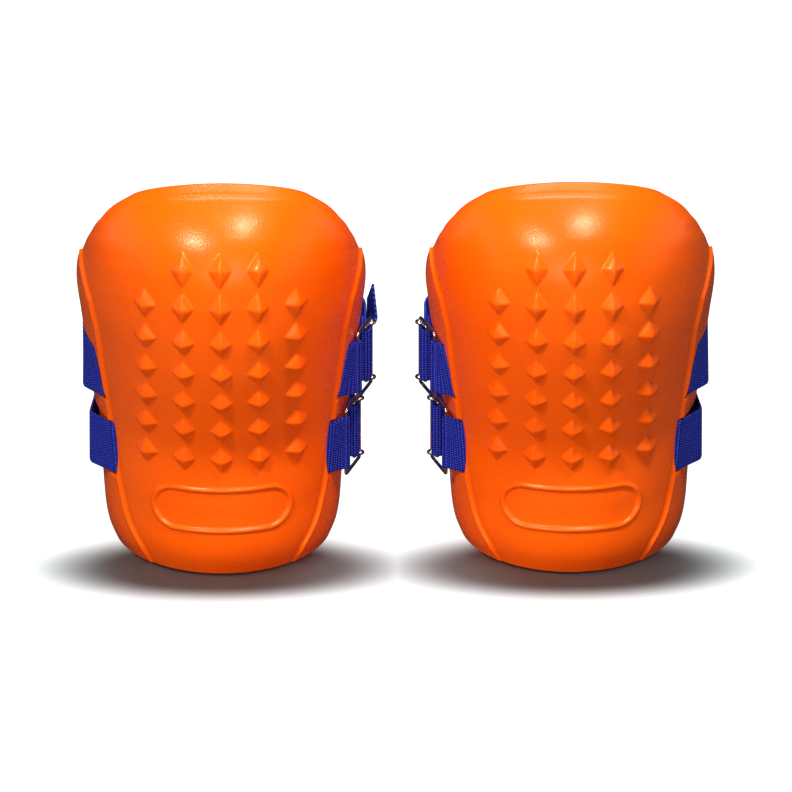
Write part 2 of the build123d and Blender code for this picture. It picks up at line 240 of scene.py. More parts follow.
def mesh_object(name, points, faces, side, uvs=None):
    """Mesh from pad points; faces turn over on the mirrored pad."""
    mesh = bpy.data.meshes.new(name)
    if side > 0:
        faces = [tuple(reversed(f)) for f in faces]
    mesh.from_pydata(place(points, side).tolist(), [], [tuple(map(int, f)) for f in faces])
    if uvs is not None:
        layer = mesh.uv_layers.new(name="along_across")
        loops = np.zeros(len(mesh.loops), int)
        mesh.loops.foreach_get("vertex_index", loops)
        layer.data.foreach_set("uv", np.asarray(uvs, float)[loops].ravel())
    mesh.update()
    mesh.shade_smooth()
    return new_object(name, mesh)


def weld(obj):
    """Joins points that meet and turns every face outwards."""
    bm = bmesh.new()
    bm.from_mesh(obj.data)
    bmesh.ops.remove_doubles(bm, verts=bm.verts, dist=1e-5)
    bmesh.ops.recalc_face_normals(bm, faces=bm.faces)
    bm.to_mesh(obj.data)
    bm.free()
    obj.data.shade_smooth()


def loft_faces(rows, size, closed=False, left_out=()):
    """Faces between rows of points, each row a loop of the same size."""
    faces = []
    for r in range(rows if closed else rows - 1):
        p, q = r * size, (r + 1) % rows * size
        for i in range(size):
            if (r, i) not in left_out:
                j = (i + 1) % size
                faces.append((p + i, p + j, q + j, q + i))
    return faces


def capped_faces(rows, size):
    """A loft closed by one face at each end."""
    ends = [tuple(range(size))[::-1], tuple((rows - 1) * size + i for i in range(size))]
    return loft_faces(rows, size) + ends


def two_sheets(rows, columns):
    """Faces of two grids, one over the other, joined round their edge."""
    faces = []
    total = rows * columns
    for r in range(rows - 1):
        for c in range(columns - 1):
            a = r * columns + c
            b = a + columns
            faces.append((a, a + 1, b + 1, b))
            faces.append((total + a, total + b, total + b + 1, total + a + 1))
    rim = [r * columns for r in range(rows)] + [total - columns + c for c in range(1, columns)]
    rim += [r * columns + columns - 1 for r in range(rows - 2, -1, -1)]
    rim += list(range(columns - 2, 0, -1))
    for a, b in zip(rim, rim[1:] + rim[:1]):
        faces.append((a, b, total + b, total + a))
    return faces


def unit(vectors):
    return vectors / np.maximum(np.linalg.norm(vectors, axis=-1, keepdims=True), 1e-9)


def smooth_step(x):
    """0 up to 0, 1 from 1 on, and a smooth rise between."""
    t = np.clip(x, 0, 1)
    return t * t * (3 - 2 * t)


# --- shell surface ------------------------------------------------------------
def section_sizes(shares):
    """Front y, tilt, half width and depth at any shares, as smooth curves."""
    knots = STATIONS[:, 0]
    k = np.clip(np.searchsorted(knots, shares) - 1, 0, len(knots) - 2)
    h = knots[k + 1] - knots[k]
    t = (shares - knots[k]) / h
    sizes = []
    for column in STATIONS[:, 1:].T:
        slope = np.gradient(column, knots)
        sizes.append(
            (1 + 2 * t) * (1 - t) ** 2 * column[k]
            + t * (1 - t) ** 2 * h * slope[k]
            + t * t * (3 - 2 * t) * column[k + 1]
            + t * t * (t - 1) * h * slope[k + 1]
        )
    return sizes


def surface(turns, shares, inset=0.0, front=0.0):
    """Points of the shell's face. Rows follow shares; turns are one row or a grid."""
    front_y, tilt, half_width, depth = [c[:, None] for c in section_sizes(shares)]
    angle = np.atleast_2d(turns) * math.pi / 2
    x = (half_width - inset) * np.sin(angle)
    back = front + (depth - front) * (1 - np.cos(angle))
    lean = np.radians(tilt)
    y = front_y + back * np.cos(lean)
    z = (shares * SHELL_HEIGHT)[:, None] - back * np.sin(lean)
    return np.stack([x, y, z + 0 * x], axis=2)


def front_run(shares):
    """Distance from the floor along the front centre line."""
    fine = np.linspace(0, 1, FINE_STEPS)
    line = surface([0.0], fine)[:, 0]
    steps = np.linalg.norm(np.diff(line, axis=0), axis=1)
    return np.interp(shares, fine, np.concatenate([[0], np.cumsum(steps)]))


def grid_normals(grid):
    """Outward normals of a grid with rows going up and columns going right."""
    along = np.gradient(grid, axis=0)
    across = np.gradient(grid, axis=1)
    normal = np.cross(across, along)
    return normal / np.linalg.norm(normal, axis=2, keepdims=True)


def cheek_x(y, z):
    """How far out the shell's side stands at a depth and height."""
    front_y, _, half_width, depth = section_sizes(np.atleast_1d(z / SHELL_HEIGHT))
    left = np.clip(1 - (np.asarray(y) - front_y) / depth, 0, 1)
    return half_width * np.sqrt(1 - left ** 2)


def rear_y(z):
    """How far back the shell's side reaches at a height."""
    front_y, _, _, depth = section_sizes(np.atleast_1d(z / SHELL_HEIGHT))
    return (front_y + depth)[0]


# --- what stands out of the shell's face --------------------------------------
def ridge(distance, width, power=2):
    """Soft ridge: 1 on its line and falling away on both sides."""
    return np.exp(-((distance / width) ** power))


def stud_relief(x, run):
    """Field of four-sided studs with swollen flanks, soft feet and blunt tips."""
    height = np.zeros_like(x)
    first = front_run(STUD_FIRST_HEIGHT / SHELL_HEIGHT)
    for row, columns in enumerate(STUDS_IN_ROW):
        length = STUD_LENGTH * (1 + STRETCH * max(row - PLAIN_ROWS, 0) ** STRETCH_POWER)
        up = (run - first - row * STUD_ROW_PITCH) / (length / 2)
        for column in range(columns):
            middle = (column - (columns - 1) / 2) * STUD_COLUMN_PITCH
            a = np.sqrt(((x - middle) / (STUD_WIDTH / 2)) ** 2 + RIDGE_SOFTNESS)
            t = STUD_PEAK - a - np.sqrt(up ** 2 + RIDGE_SOFTNESS)
            body = 0.5 * (t + np.sqrt(t * t + FOOT_SOFTNESS))
            body = body * (STUD_SWELL[0] - STUD_SWELL[1] * body)
            blunt = BLUNT_FROM + BLUNT_SLOPE * (body - BLUNT_FROM)
            height += STUD_HEIGHT * np.minimum(body, blunt)
    return height


def badge_relief(x, z):
    """Raised bead round a bare badge with full round ends."""
    half = (BADGE_HEIGHT - BADGE_BEAD) / 2
    straight = (BADGE_WIDTH - BADGE_HEIGHT) / 2
    beyond = np.maximum(np.abs(x) - straight, 0)
    gap = np.hypot(beyond, z - BADGE_Z) - half
    bead = BADGE_BEAD_HEIGHT * ridge(gap, BADGE_BEAD_SHARE * BADGE_BEAD, 4)
    return bead - BADGE_SINK * smooth_step(-gap / BADGE_SINK_RUN)


def cheek_relief(turns, shares):
    """Raised panel on each cheek, with a bead and a groove along its front edge."""
    edge = np.interp(shares, CHEEK_EDGE[:, 0], CHEEK_EDGE[:, 1])[:, None]
    gap = (np.abs(turns) - edge) * TURN_RUN
    panel = RELIEF * smooth_step(gap / CHEEK_STEP)
    bead = CHEEK_BEAD * ridge(gap - CHEEK_BEAD_PLACE, CHEEK_BEAD_WIDTH)
    groove = CHEEK_GROOVE * ridge(gap + CHEEK_GROOVE_WIDTH, CHEEK_GROOVE_WIDTH)
    fade = smooth_step(shares / FOOT_FADE)[:, None]
    return (panel + bead - groove) * (FOOT_SHARE + (1 - FOOT_SHARE) * fade)


def rim_relief(x, below):
    """Crease under the top lip; below is the distance down from the top edge."""
    fade = np.clip(LIP_FADE - (np.abs(x) / LIP_HALF_WIDTH) ** 2, 0, 1)
    crease = CREASE_DEPTH * ridge(below - CREASE_BELOW, CREASE_WIDTH)
    lip = LIP_DEPTH * smooth_step((CREASE_BELOW + 0.5 - below) / LIP_STEP)
    return -(lip + crease) * fade


def sink_channels(relief, grid):
    """Channels that run back from the slots, with the strap on their floor."""
    y, z = grid[..., 1], grid[..., 2]
    for middle in STRAP_Z.values():
        half = SLOT_HEIGHT / 2 + CHANNEL_MARGIN_Z
        inside = smooth_step((half - np.abs(z - middle)) / CHANNEL_STEP)
        start = SLOT_Y - SLOT_OPENING / 2 - CHANNEL_MARGIN_Y
        inside = inside * smooth_step((y - start) / CHANNEL_STEP)
        relief = relief * (1 - inside) - CHANNEL_BITE * inside
    return relief


# --- shell mesh ---------------------------------------------------------------
def row_shares():
    """Even steps up the front, with rows exactly at the slots' ends."""
    fine = np.linspace(0.0, 1.0, FINE_STEPS)
    run = front_run(fine)
    shares = np.interp(np.linspace(FOOT_MARGIN, run[-1] - CAP_HEIGHT, ROWS), run, fine)
    slots = []
    for middle in STRAP_Z.values():
        rows = []
        for z in (middle - SLOT_HEIGHT / 2, middle + SLOT_HEIGHT / 2):
            row = int(np.argmin(np.abs(shares - z / SHELL_HEIGHT)))
            shares[row] = z / SHELL_HEIGHT
            rows.append(row)
        slots.append(rows)
    return shares, slots


def column_turns(shares, inset, front, step):
    """Turn of every column on every row, with columns at the slots' edges."""
    front_y, _, _, depth = section_sizes(shares)
    knots = [np.zeros_like(shares)]
    for y in (SLOT_Y - SLOT_OPENING / 2, SLOT_Y + SLOT_OPENING / 2):
        share = np.clip((y - front_y - front) / (depth - front), *SLOT_DEPTHS)
        knots.append(np.arccos(1 - share) * 2 / math.pi)
    knots[2] = np.maximum(knots[2], knots[1] + SLOT_TURN)
    knots.append(np.full_like(shares, EDGE_TURN))
    knots = np.array(knots)
    places = [0, SLOT_COLUMNS[0], SLOT_COLUMNS[1], HALF_COLUMNS]
    columns = np.arange(0, HALF_COLUMNS + 1, step)
    half = np.array([np.interp(columns, places, knots[:, r]) for r in range(len(shares))])
    return np.concatenate([-half[:, :0:-1], half], axis=1)


def outer_face(shares):
    """The plain outer face, and the same face with all that stands out of it."""
    turns = column_turns(shares, 0, 0, 1)
    base = surface(turns, shares)
    x, z = base[..., 0], base[..., 2]
    run = front_run(shares)[:, None] + 0 * x
    relief = stud_relief(x, run) + badge_relief(x, z)
    relief += cheek_relief(turns, shares) + rim_relief(x, front_run(1.0) - run)
    relief = sink_channels(relief, base)
    return base, base + grid_normals(base) * relief[..., None]


def round_end(outer, inner, rearward):
    """Points that turn round a free edge, from the outer face to the inner one."""
    middle, arm = (outer + inner) / 2, (outer - inner) / 2
    reach = rearward * np.linalg.norm(arm, axis=-1, keepdims=True) * END_BULGE
    steps = [math.pi * (i + 1) / (END_POINTS + 1) for i in range(END_POINTS)]
    return np.stack([middle + arm * math.cos(s) + reach * math.sin(s) for s in steps], axis=1)


def cap_rows(edge, middle, direction):
    """Rows that round the wall's end over to its middle line."""
    rise = unit(direction) * CAP_HEIGHT
    angles = [math.pi / 2 * i / CAP_ROWS for i in range(1, CAP_ROWS + 1)]
    return [middle + (edge - middle) * math.cos(a) + rise * math.sin(a) for a in angles]


def wall_middle(outer, inner):
    """For each point round the section, the point of the wall's middle line beside it."""
    places = np.arange(outer.shape[0]) / INNER_STEP
    low = np.clip(places.astype(int), 0, inner.shape[0] - 2)
    mix = (places - low)[:, None]
    middle = (outer + inner[low] * (1 - mix) + inner[low + 1] * mix) / 2
    right, left = [np.tile(middle[i], (END_POINTS, 1)) for i in (-1, 0)]
    return np.concatenate([middle, right, middle[::INNER_STEP][::-1], left])


def slot_ranges(outer_count, inner_count):
    """Outer and inner column spans of both slots, as places round the section."""
    middle = outer_count // 2
    spans = []
    for sign in (-1, 1):
        a, b = sorted(middle + sign * c for c in SLOT_COLUMNS)
        inner_a = outer_count + END_POINTS + (inner_count - 1 - b // INNER_STEP)
        spans.append((a, b, inner_a, inner_a + (b - a) // INNER_STEP))
    return spans


def open_slots(slots, spans, first, size):
    """Cells left out for the slots, and the faces of the slots' own walls."""
    left_out, walls = set(), []
    for low, high in slots:
        for a, b, c, d in spans:
            for r in range(low + first, high + first):
                left_out.update((r, i) for i in (*range(a, b), *range(c, d)))
                p, q = r * size, (r + 1) * size
                walls.append((p + a, p + d, q + d, q + a))
                walls.append((p + b, q + b, q + c, p + c))
            for r, turn in ((low + first, 1), (high + first, -1)):
                for k in range(d - c):
                    strip = [r * size + a + INNER_STEP * k + i for i in range(INNER_STEP + 1)]
                    face = strip + [r * size + d - k - 1, r * size + d - k]
                    walls.append(tuple(face[::turn]))
    return left_out, walls


def shell_mesh():
    """Points and faces of the whole shell, with real slots through its cheeks."""
    shares, slots = row_shares()
    base, outer = outer_face(shares)
    turns = column_turns(shares, SIDE_WALL, FRONT_WALL, INNER_STEP)
    inner = surface(turns, shares, SIDE_WALL, FRONT_WALL)
    right = round_end(outer[:, -1], inner[:, -1], unit(base[:, -1] - base[:, -2]))
    left = round_end(outer[:, 0], inner[:, 0], unit(base[:, 0] - base[:, 1]))
    loops = np.concatenate([outer, right, inner[:, ::-1], left[:, ::-1]], axis=1)
    bottom = cap_rows(loops[0], wall_middle(outer[0], inner[0]), loops[0] - loops[1])
    top = cap_rows(loops[-1], wall_middle(outer[-1], inner[-1]), loops[-1] - loops[-2])
    rows = [*bottom[::-1], *loops, *top]
    size = loops.shape[1]
    spans = slot_ranges(outer.shape[1], inner.shape[1])
    left_out, walls = open_slots(slots, spans, len(bottom), size)
    return np.concatenate(rows), loft_faces(len(rows), size, False, left_out) + walls


# --- knee cushion -------------------------------------------------------------
def cushion_mesh():
    """Foam lining with soft flutes across the knee and rounded edges all round."""
    shares = np.linspace(CUSHION_FOOT / SHELL_HEIGHT, CUSHION_TOP_SHARE, CUSHION_ROWS)
    turns = np.linspace(-CUSHION_REACH, CUSHION_REACH, CUSHION_COLUMNS)
    near = (SIDE_WALL + CUSHION_GAP, FRONT_WALL + CUSHION_GAP)
    outer = surface(turns, shares, *near)
    inner = surface(turns, shares, *[inset + CUSHION_THICKNESS for inset in near])
    run = front_run(shares)
    up = run - run[0]
    across = np.abs(np.linspace(-1, 1, CUSHION_COLUMNS))[None, :]
    to_end = np.minimum(up, up[-1] - up)[:, None]
    to_side = (1 - across) * CUSHION_HALF_RUN
    edge = np.clip(np.minimum(to_end, to_side) / CUSHION_EDGE, 0, 1)
    swell = np.sqrt(np.clip(1 - (1 - edge) ** 2, LEAST_SWELL, 1))
    flute = ridge(up % FLUTE_PITCH - FLUTE_PITCH / 2, FLUTE_WIDTH)[:, None] * (across < FLUTE_REACH)
    inner = outer + (inner - outer) * (swell * (1 - FLUTE_DEPTH * flute))[..., None]
    points = np.concatenate([outer.reshape(-1, 3), inner.reshape(-1, 3)])
    return points, two_sheets(CUSHION_ROWS, CUSHION_COLUMNS)


# --- places of the buckle's bars, in plan -------------------------------------
def heading(length, turn):
    """A step in plan, turned outwards from straight back by an angle in degrees."""
    angle = math.radians(turn)
    return np.array([length * math.sin(angle), length * math.cos(angle)])


def ring_bars(level):
    """Centres of the ring's inner and outer bars."""
    pivot = JOINTS[f"left_{level}_ring_swing"]
    inner = np.array([pivot.x + PAD_X, pivot.y - PAD_Y])
    return inner, inner + heading(RING_LENGTH, RING_TURN)


def hook_bar(level):
    return ring_bars(level)[1] - heading(HOOK_REACH, HOOK_TURN)


# --- webbing ------------------------------------------------------------------
def rounded_path(start, corners, end, step):
    """Even points along straight runs joined by arcs, in plan. A corner is x, y, radius."""
    radii = [corner[2] for corner in corners]
    points = [np.array(p[:2], float) for p in (start, *corners, end)]
    path = [points[0]]
    for before, corner, after, radius in zip(points, points[1:], points[2:], radii):
        a, b = unit(before - corner), unit(after - corner)
        half = math.acos(max(-1.0, min(1.0, float(a @ b)))) / 2
        if half > math.pi / 2 - 1e-3:
            path.append(corner)
            continue
        reach = radius / math.tan(half)
        centre = corner + unit(a + b) * radius / math.sin(half)
        start, stop = corner + a * reach - centre, corner + b * reach - centre
        sweep = math.atan2(start[0] * stop[1] - start[1] * stop[0], start @ stop)
        count = max(4, int(abs(sweep) * radius / (step / 2)))
        for turn in sweep * np.arange(count + 1) / count:
            c, s = math.cos(turn), math.sin(turn)
            path.append(centre + (c * start[0] - s * start[1], s * start[0] + c * start[1]))
    path.append(points[-1])
    return even_path(np.array(path), step)


def even_path(path, step):
    run = np.concatenate([[0], np.cumsum(np.linalg.norm(np.diff(path, axis=0), axis=1))])
    count = max(2, int(round(run[-1] / step)) + 1)
    places = np.linspace(0, run[-1], count)
    return np.stack([np.interp(places, run, path[:, k]) for k in range(path.shape[1])], axis=1)


def path_normals(path):
    along = unit(np.gradient(path, axis=0))
    return np.stack([along[:, 1], -along[:, 0]], axis=1)


def ribbed_half(run):
    """Half the thickness along the band: full on each rib, less between the ribs."""
    rib = np.sqrt(np.abs(np.sin(math.pi * run / RIB_PITCH)))
    return WEBBING_THICKNESS / 2 - RIB_DEPTH * (1 - rib)


def webbing_mesh(path, middle_z, lean):
    """Ribbed elastic on edge: real ribs across the band and firm selvedges."""
    normals = path_normals(path)
    run = np.arange(len(path)) * STRAP_STEP
    ribbed = ribbed_half(run)
    firm = np.full_like(run, WEBBING_THICKNESS / 2 - SELVEDGE_SINK)
    around = [(1, share) for share in BAND_SHARES]
    around += [(-1, share) for share in reversed(BAND_SHARES)]
    heights = np.array([share for _, share in around]) * WEBBING_WIDTH / 2
    loops = []
    for (face, share), z in zip(around, heights):
        depth = firm if abs(share) > SELVEDGE_FROM else ribbed
        thin = EDGE_THINNING if abs(share) == 1 else 1.0
        xy = path + normals * (depth * thin * face)[:, None]
        loops.append(np.column_stack([xy[:, 0] + lean * z, xy[:, 1], np.full_like(run, middle_z + z)]))
    points = np.stack(loops, axis=1)
    faces = capped_faces(*points.shape[:2])
    uvs = np.stack(np.broadcast_arrays(run[:, None] / 1000, heights[None, :] / 1000), axis=2)
    return points.reshape(-1, 3), faces, uvs.reshape(-1, 2)


def inner_ply_x(y, z):
    """Middle of the webbing where it lies inside the cheek."""
    low = z - WEBBING_WIDTH / 2
    return (cheek_x(y, low) - SIDE_WALL - WALL_GAP - WEBBING_THICKNESS / 2)[0]


def outer_ply_x(y, z):
    """Middle of the webbing where it lies on the floor of its channel."""
    return (cheek_x(y, z) - CHANNEL_BITE + WALL_GAP + WEBBING_THICKNESS / 2)[0]


def cheek_slope(level):
    """How far the cheek leans out per millimetre of height, beside a strap."""
    z, half = STRAP_Z[level], WEBBING_WIDTH / 2
    return (cheek_x(SLOT_Y, z + half) - cheek_x(SLOT_Y, z - half))[0] / WEBBING_WIDTH


def strap_lean(path, level):
    """The strap leans with the cheek inside it and in its slot, and stands upright elsewhere."""
    y, anchored = path[:, 1], path[:, 0] < 0
    slot = np.argmin(np.where(anchored, y, np.inf))
    inside = smooth_step((rear_y(STRAP_Z[level]) + PLY_CROSSING - y) / PLY_CROSSING)
    outside = smooth_step((BULGE_Y - y) / (BULGE_Y - SLOT_Y))
    turned = OUT_TURN * (1 - outside) * smooth_step((BULGE_Y + STRAIGHTENING - y) / STRAIGHTENING)
    near = np.where(np.arange(len(path)) < slot, inside, outside - turned)
    return -cheek_slope(level) * near * anchored


def tab_lean(path, level):
    """The tab leans with the cheek at its slot and stands upright at the ring."""
    away = np.linalg.norm(path - ring_bars(level)[0], axis=1)
    return cheek_slope(level) * smooth_step((away - TAB_UPRIGHT) / TAB_LEAN_RUN)


def loop_corners(level, strap_x):
    """The strap's end: round the hook's bar and back to where it is sewn to itself."""
    bar_x, bar_y = hook_bar(level)
    loop_y = bar_y + LOOP_RADIUS - WEBBING_THICKNESS / 2 - WIRE_RADIUS - LOOP_SLACK
    front, meet = loop_y - LOOP_RADIUS, loop_y + LOOP_CLOSE
    turn = 0.9 * LOOP_RADIUS
    corners = [
        (strap_x, meet, SEAM_RADIUS),
        (bar_x + LOOP_RADIUS, loop_y, 1),
        (bar_x + LOOP_RADIUS, front, turn),
        (bar_x - LOOP_RADIUS, front, turn),
        (bar_x - LOOP_RADIUS, loop_y, 1),
        (strap_x - PLY, meet, SEAM_RADIUS),
    ]
    return corners, (strap_x - PLY, meet + SEWN_LENGTH)


def strap_path(level, step):
    """From its sewn end inside the outer cheek, out through the slot, round behind
    the leg and on to the hook."""
    z = STRAP_Z[level]
    rear = rear_y(z)
    behind = rear + WALL_GAP + WEBBING_THICKNESS
    sewn = behind + PLY_CROSSING
    out_x = outer_ply_x(rear, z + WEBBING_WIDTH / 2)
    strap_x = min(ring_bars(level)[1][0] - WIRE_RADIUS - WEBBING_THICKNESS, hook_bar(level)[0])
    loop, end = loop_corners(level, strap_x)
    big, fold = STRAP_CORNER_RADIUS, WEBBING_THICKNESS
    corners = [
        (-out_x + PLY, sewn, SEAM_RADIUS),
        (-inner_ply_x(rear, z), behind, 3),
        (-inner_ply_x(SLOT_Y, z), SLOT_Y, fold),
        (-outer_ply_x(SLOT_Y, z), SLOT_Y, fold),
        (-STRAP_BULGE[level], BULGE_Y, 9),
        (-out_x, rear + 2, 20),
        (-out_x + 5, STRAP_REAR_Y - STRAP_CORNER, big),
        (-out_x + STRAP_CORNER, STRAP_REAR_Y, big),
        (strap_x - STRAP_CORNER, STRAP_REAR_Y, big),
        (strap_x, STRAP_REAR_Y - STRAP_CORNER, big),
        *loop,
    ]
    return rounded_path((-out_x + PLY, sewn + SEWN_LENGTH), corners, end, step)


def round_bar(bar, radius, start, stop, stem_end):
    """Arc round a bar from start to stop, on the side away from the stem."""
    first, last, stem = [math.atan2(*(p - bar)[::-1]) for p in (start, stop, stem_end)]
    sweep = (last - first) % (2 * math.pi)
    if abs((first + sweep / 2 - stem) % (2 * math.pi) - math.pi) > math.pi / 2:
        sweep -= 2 * math.pi
    angles = first + sweep * np.linspace(0, 1, EYE_POINTS)[1:-1]
    return bar + radius * np.stack([np.cos(angles), np.sin(angles)], axis=1)


def tab_path(level, step):
    """Round the ring's inner bar and back, with both plies side by side."""
    z = STRAP_Z[level]
    bar = ring_bars(level)[0]
    inside_x = inner_ply_x(SLOT_Y, z) - WEBBING_THICKNESS / 2
    outside_x = outer_ply_x(SLOT_Y, z) + WALL_GAP
    corners = [(inside_x, SLOT_Y, WEBBING_THICKNESS + 0.5), (outside_x, SLOT_Y, TAB_RADIUS)]
    stem = rounded_path((inside_x, SLOT_Y + SEWN_LENGTH), corners, bar, step / 2)
    eye = WIRE_RADIUS + RUNNING_GAP + WEBBING_THICKNESS / 2
    stem = stem[np.linalg.norm(stem - bar, axis=1) > math.sqrt(eye ** 2 - (PLY / 2) ** 2)]
    offset = path_normals(stem) * PLY / 2
    out, back = stem + offset, (stem - offset)[::-1]
    turn = round_bar(bar, eye, out[-1], back[0], stem[-1])
    return even_path(np.concatenate([out, turn, back]), step)


def tail_mesh(level):
    """Free end of a strap: it lies slantwise on the band and its corner stands up and out."""
    face_x = strap_path(level, 1.0)[-1][0] + 2 * PLY
    top_z = STRAP_Z[level] + WEBBING_WIDTH / 2
    lengths = np.linspace(-TAIL_LENGTH, 0, TAIL_ROWS)
    across = np.linspace(-TAIL_WIDTH, 0, TAIL_COLUMNS)
    u, v = np.meshgrid(lengths, across, indexing="ij")
    c, s = math.cos(math.radians(TAIL_TURN)), math.sin(math.radians(TAIL_TURN))
    y = TAIL_TIP_Y + s * u - c * v
    z = top_z + TAIL_TIP_RISE + c * u + s * v
    lift = np.maximum(TAIL_LIFT + TAIL_TWIST * (TAIL_TIP_Y - y), 0)
    x = face_x + lift * smooth_step((z - top_z + TAIL_FREE_BELOW) / TAIL_FREE_RUN)
    half = ribbed_half(u)
    sheets = [np.stack([x + sign * half, y, z], axis=2).reshape(-1, 3) for sign in (1, -1)]
    uvs = np.stack([u, v], axis=2).reshape(-1, 2) / 1000
    return np.concatenate(sheets), two_sheets(*u.shape), np.concatenate([uvs, uvs])


def sewn_box():
    """Places in (y, z) and directions of the stitches in one sewn rectangle."""
    half_y, half_z = SEWN_LENGTH / 2 - STITCH_MARGIN_Y, WEBBING_WIDTH / 2 - STITCH_MARGIN_Z
    places = []
    for sign in (-1, 1):
        for z in np.arange(-half_z, half_z, STITCH_PITCH) + STITCH_PITCH / 2:
            places.append((sign * half_y, z, (0, 1)))
        for y in np.arange(-half_y, half_y - STITCH_LENGTH, STITCH_PITCH) + STITCH_PITCH / 2:
            places.append((y, sign * half_z, (1, 0)))
    return places


def stitch_points(middle, along):
    """One stitch: a short round thread with tapered ends."""
    points = []
    for share, size in THREAD_ROWS:
        reach, radius = share * STITCH_LENGTH, size * THREAD_RADIUS
        for turn in 2 * math.pi * np.arange(THREAD_SIDES) / THREAD_SIDES:
            out, side = radius * math.cos(turn), radius * math.sin(turn)
            across = (reach * along[0] + side * along[1], reach * along[1] + side * along[0])
            points.append((middle[0] + out, middle[1] + across[0], middle[2] + across[1]))
    return points


def stitch_mesh(level):
    """Thread on both faces of the two places where a strap is sewn to itself."""
    path = strap_path(level, 1.0)
    face = WEBBING_THICKNESS / 2
    thread = capped_faces(len(THREAD_ROWS), THREAD_SIDES)
    points, faces = [], []
    for end_x, end_y, turn in ((*path[0], -1), (*path[-1], 1)):
        for x in (end_x + turn * (PLY + face), end_x - turn * face):
            for y, z, along in sewn_box():
                middle = (x, end_y - SEWN_LENGTH / 2 + y, STRAP_Z[level] + z)
                faces.extend(tuple(len(points) + i for i in corners) for corners in thread)
                points.extend(stitch_points(middle, along))
    return points, faces


def webbing_object(name, path, level, side, material, lean):
    points, faces, uvs = webbing_mesh(path, STRAP_Z[level], lean)
    obj = mesh_object(name, points, faces, side, uvs)
    obj.data.materials.append(material)
    return obj


# --- wire ---------------------------------------------------------------------
def carried_normals(along):
    """A normal carried along a path with the least turning."""
    normal = unit(np.cross(along[0], [0.3, 0.2, 0.9]))
    normals = []
    for direction in along:
        normal = unit(normal - direction * (normal @ direction))
        normals.append(normal)
    return np.array(normals)


def closed_normals(along):
    """The same round a closed path, turned evenly so that the last meets the first."""
    normals = carried_normals(along)
    others = np.cross(along, normals)
    last = unit(normals[-1] - along[0] * (normals[-1] @ along[0]))
    twist = -math.atan2(last @ others[0], last @ normals[0])
    steps = (np.arange(len(along)) / len(along) * twist)[:, None]
    return normals * np.cos(steps) + others * np.sin(steps)


def rounded_tip(centre, outward, circle):
    """Rows that close a wire's end."""
    return [centre + outward * math.sin(a) + circle * math.cos(a) for a in np.linspace(0.35, 1.45, 4)]


def tube(path, closed):
    """Wire of round section along a path in space, with its ends rounded."""
    if closed:
        along = unit(np.roll(path, -1, axis=0) - np.roll(path, 1, axis=0))
        normals = closed_normals(along)
    else:
        along = unit(np.gradient(path, axis=0))
        normals = carried_normals(along)
    others = np.cross(along, normals)
    angles = (np.arange(WIRE_SIDES) * 2 * math.pi / WIRE_SIDES)[None, :, None]
    circles = WIRE_RADIUS * (np.cos(angles) * normals[:, None] + np.sin(angles) * others[:, None])
    rows = path[:, None] + circles
    if closed:
        return rows.reshape(-1, 3), loft_faces(len(rows), WIRE_SIDES, True)
    first = rounded_tip(path[0], -along[0] * WIRE_RADIUS, circles[0])
    last = rounded_tip(path[-1], along[-1] * WIRE_RADIUS, circles[-1])
    rows = np.concatenate([first[::-1], rows, last])
    return rows.reshape(-1, 3), capped_faces(len(rows), WIRE_SIDES)


def soften(path, count, closed):
    """Evens out the corners of a bent wire."""
    path = np.array(path, float)
    for _ in range(count):
        before, after = np.roll(path, 1, axis=0), np.roll(path, -1, axis=0)
        smooth = (before + 2 * path + after) / 4
        if not closed:
            smooth[0], smooth[-1] = path[0], path[-1]
        path = smooth
    return path


def arm_height():
    """How far above and below the middle the hook's arms lie."""
    return WEBBING_WIDTH / 2 + HOOK_SIDE_GAP + WIRE_RADIUS


def ring_path(level):
    inner, outer = ring_bars(level)
    half = arm_height() + WIRE_RADIUS + RING_CORNER
    z = STRAP_Z[level]
    corners = [(*inner, z - half), (*outer, z - half), (*outer, z + half), (*inner, z + half)]
    path = even_path(np.array([*corners, corners[0]]), RING_STEP)[:-1]
    return soften(path, RING_SOFTENING, True)


def hook_path(level):
    """Curl, arm, bar, arm, curl: one wire."""
    outer, bar, z = ring_bars(level)[1], hook_bar(level), STRAP_Z[level]
    curl = 2 * WIRE_RADIUS + RUNNING_GAP
    along = heading(1, HOOK_TURN)
    side = np.array([-along[1], along[0]])
    turns = np.radians(180 + np.linspace(0, CURL_ANGLE, CURL_POINTS))[:, None]
    circle = outer + curl * (np.cos(turns) * along + np.sin(turns) * side)
    arms = []
    for sign in (-1, 1):
        wire = np.concatenate([bar[None], circle])
        wire = np.column_stack([wire, np.full(len(wire), z + sign * arm_height())])
        arms.append(even_path(wire, HOOK_STEP))
    wire = np.concatenate([arms[0][::-1], bar_line(bar, z), arms[1]])
    return soften(wire, HOOK_SOFTENING, False)


def bar_line(bar, z):
    heights = np.linspace(-arm_height(), arm_height(), 124)[1:-1]
    return np.column_stack([np.repeat(bar[None], len(heights), axis=0), z + heights])


def wire_object(name, path, closed, side, material):
    obj = mesh_object(name, *tube(path, closed), side)
    obj.data.materials.append(material)
    return obj


